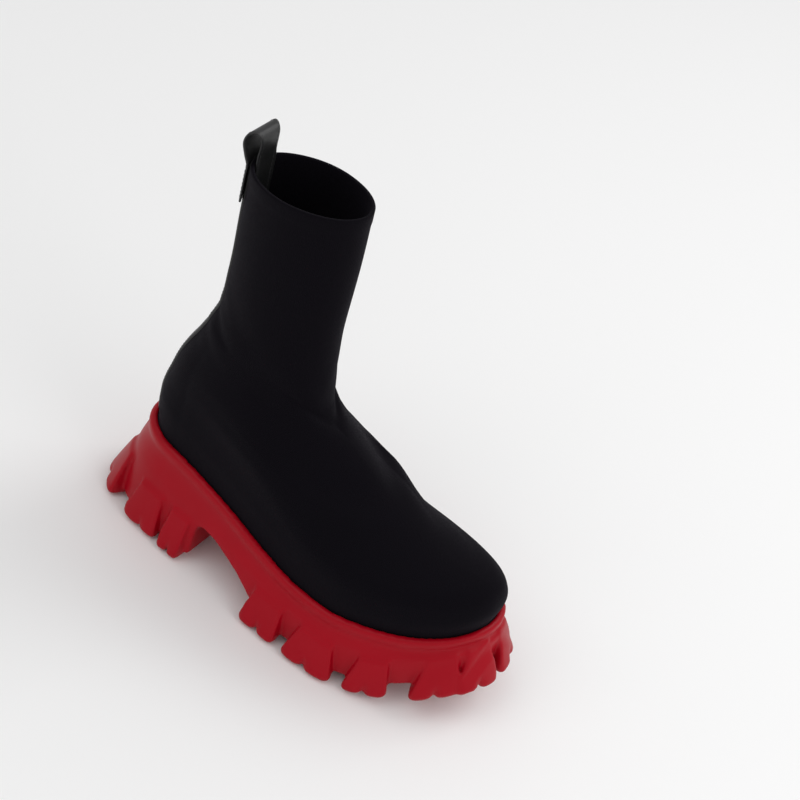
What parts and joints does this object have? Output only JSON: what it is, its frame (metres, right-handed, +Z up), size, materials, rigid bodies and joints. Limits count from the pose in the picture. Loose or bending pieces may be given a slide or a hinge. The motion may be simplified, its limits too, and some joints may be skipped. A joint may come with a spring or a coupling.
{
  "type": "block heel boot",
  "caption": "Pull-on knitted ankle boot on a red moulded platform sole with a block heel, deep side lugs and a loop at the back of the collar.",
  "frame": {"origin": "middle of the heel's tread, on the floor, midway between the heel's back and front at the foot's middle line", "axes": "+X to the toe, +Y to the inner side of the foot, +Z up"},
  "size_m": [0.2964, 0.1256, 0.3035],
  "materials": {
    "knit": "matte black stretch knit",
    "sole_rubber": "satin red moulded rubber",
    "insole_board": "matte black textile sock",
    "stay": "smooth black strip, low sheen",
    "strap": "smooth black strap, soft sheen"
  },
  "bodies": {
    "root": {"upper": "knit", "outsole": "sole_rubber", "insole": "insole_board", "back_stay": "stay", "pull_loop": "strap"}
  },
  "joints": []
}
